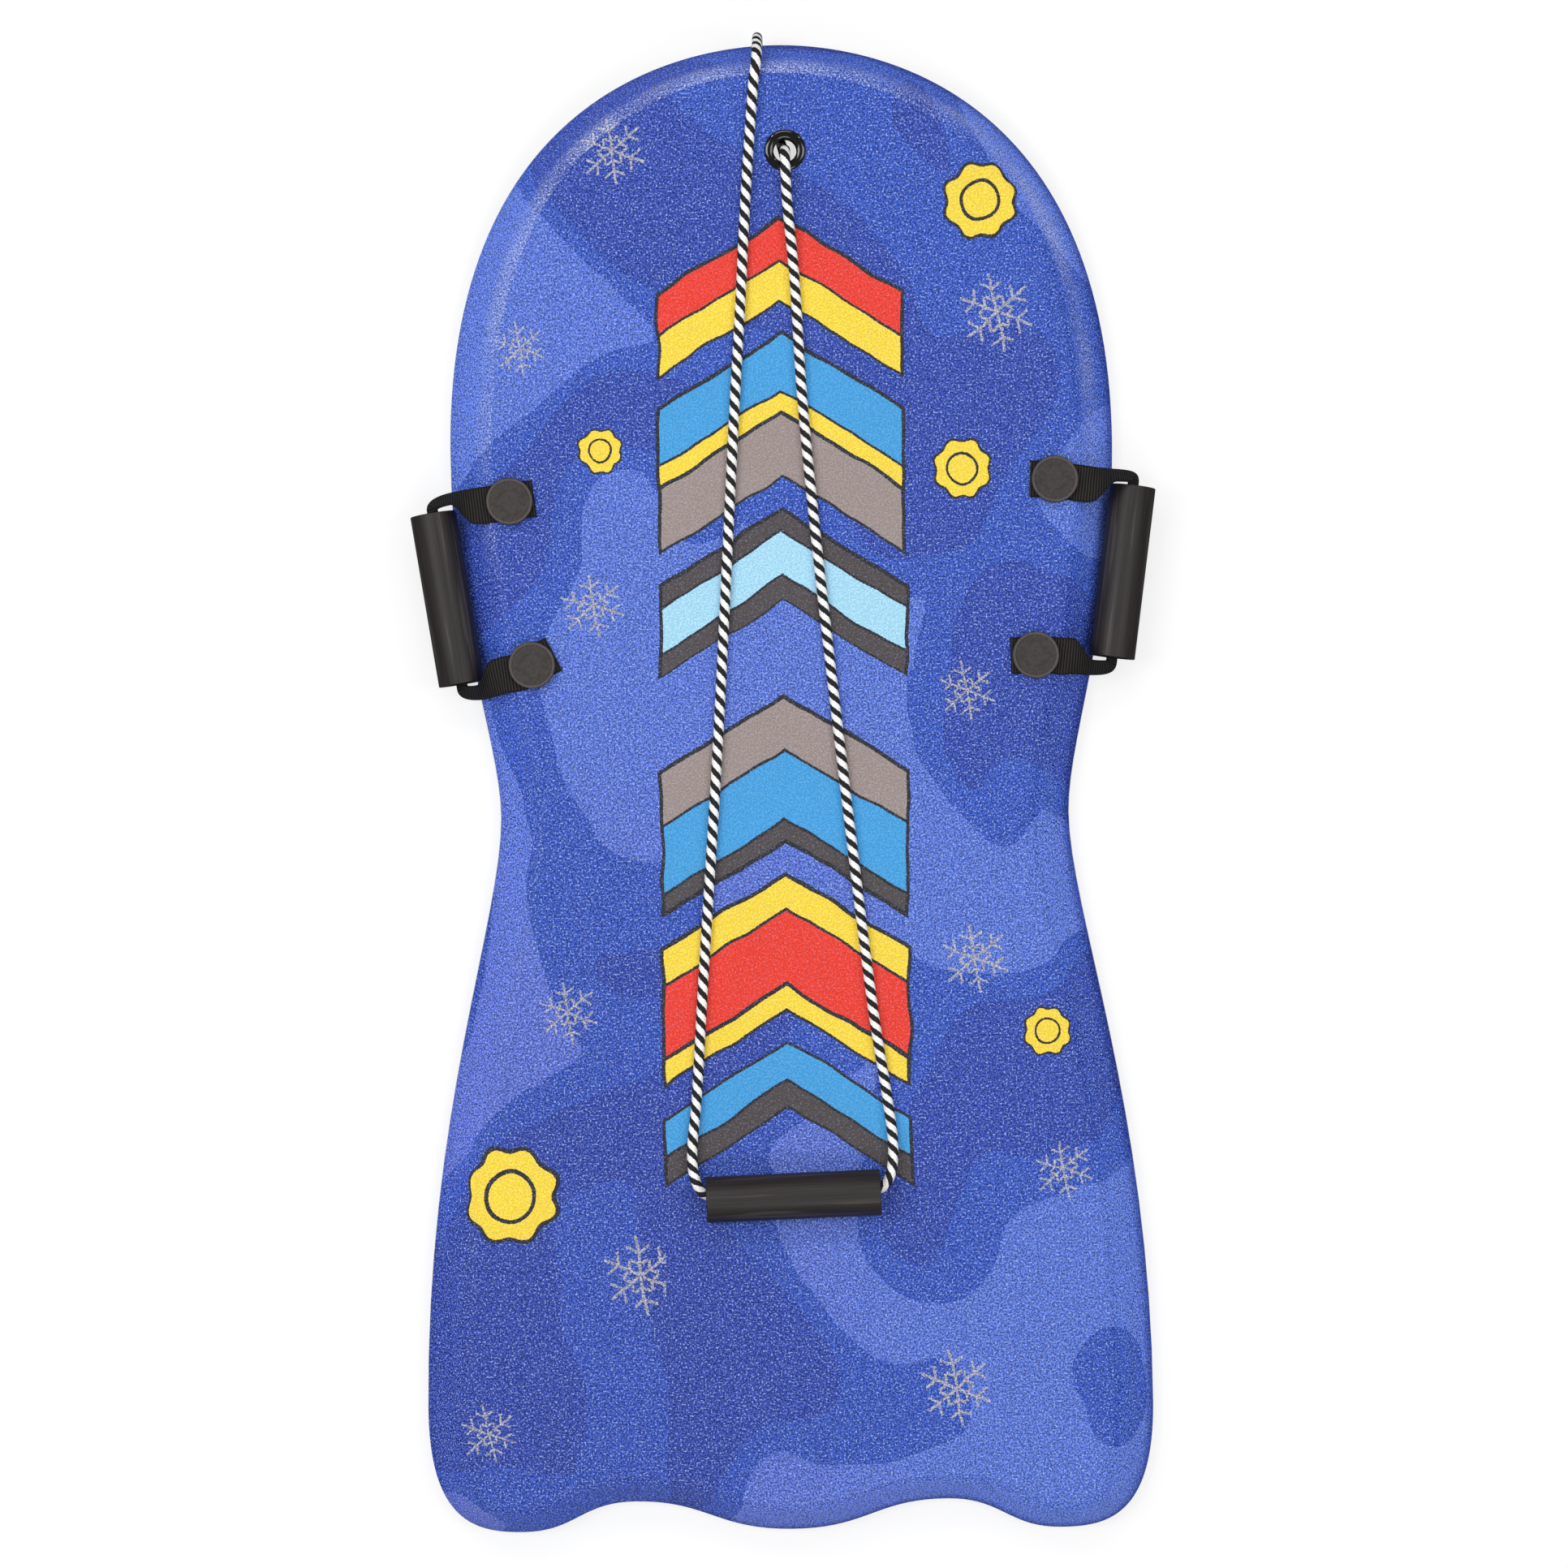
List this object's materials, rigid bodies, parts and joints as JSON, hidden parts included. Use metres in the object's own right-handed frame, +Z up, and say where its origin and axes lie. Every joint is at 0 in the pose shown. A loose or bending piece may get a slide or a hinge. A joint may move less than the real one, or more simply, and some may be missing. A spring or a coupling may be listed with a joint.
{
  "type": "foam snow sled",
  "caption": "Foam board snow sled with turned-up nose, waisted sides, scalloped tail, webbing grab handles with tube grips and a tow rope through an eyelet, looped to a loose grip.",
  "frame": {"origin": "on the flat running face, midway between the sides, near the middle of the length", "axes": "+Y to the nose, +X to the right side seen from above, +Z up out of the deck"},
  "size_m": [0.5051, 1.0203, 0.0763],
  "materials": {
    "foam": "closed-cell polyethylene foam",
    "print": "printed film with a fine pebble emboss and a soft sheen",
    "slick": "smooth slick sheet",
    "gloss": "glossy moulded plastic",
    "button": "matte moulded plastic",
    "grip": "satin extruded tube",
    "webbing": "ribbed woven webbing",
    "rope": "braided rope with a dark tracer"
  },
  "bodies": {
    "board": {"base_slick": "slick", "deck_skin": "print", "foam_core": "foam", "eyelet_top": "gloss", "eyelet_bottom": "gloss", "tow_rope": "rope", "tow_knot": "rope", "left_front_button": "button", "left_front_anchor": "gloss", "left_front_strap_tab": "webbing", "left_rear_button": "button", "left_rear_anchor": "gloss", "left_rear_strap_tab": "webbing", "right_front_button": "button", "right_front_anchor": "gloss", "right_front_strap_tab": "webbing", "right_rear_button": "button", "right_rear_anchor": "gloss", "right_rear_strap_tab": "webbing"},
    "left_handle": {"left_strap_loop": "webbing"},
    "left_grip_tube": {"left_grip": "grip"},
    "right_handle": {"right_strap_loop": "webbing"},
    "right_grip_tube": {"right_grip": "grip"},
    "tow_grip_tube": {"tow_grip": "grip"}
  },
  "joints": [
    {"name": "left_handle_swing", "type": "hinge", "parent": "board", "child": "left_handle", "pos_m": [-0.19531, 0.13536, 0.0461], "axis": [-0.1229, 0.9924, 0], "range_deg": [0, 110]},
    {"name": "left_grip_spin", "type": "hinge", "parent": "left_handle", "child": "left_grip_tube", "pos_m": [-0.22747, 0.12856, 0.02994], "axis": [-0.154, 0.9881, 0], "continuous": true},
    {"name": "right_handle_swing", "type": "hinge", "parent": "board", "child": "right_handle", "pos_m": [0.19588, 0.14309, 0.0461], "axis": [-0.1134, -0.9935, 0], "range_deg": [0, 110]},
    {"name": "right_grip_spin", "type": "hinge", "parent": "right_handle", "child": "right_grip_tube", "pos_m": [0.23061, 0.14265, 0.02765], "axis": [-0.1273, -0.9919, 0], "continuous": true},
    {"name": "tow_grip_spin", "type": "hinge", "parent": "board", "child": "tow_grip_tube", "pos_m": [0.0033, -0.2763, 0.0608], "axis": [0.9994, 0.0349, 0], "continuous": true}
  ]
}
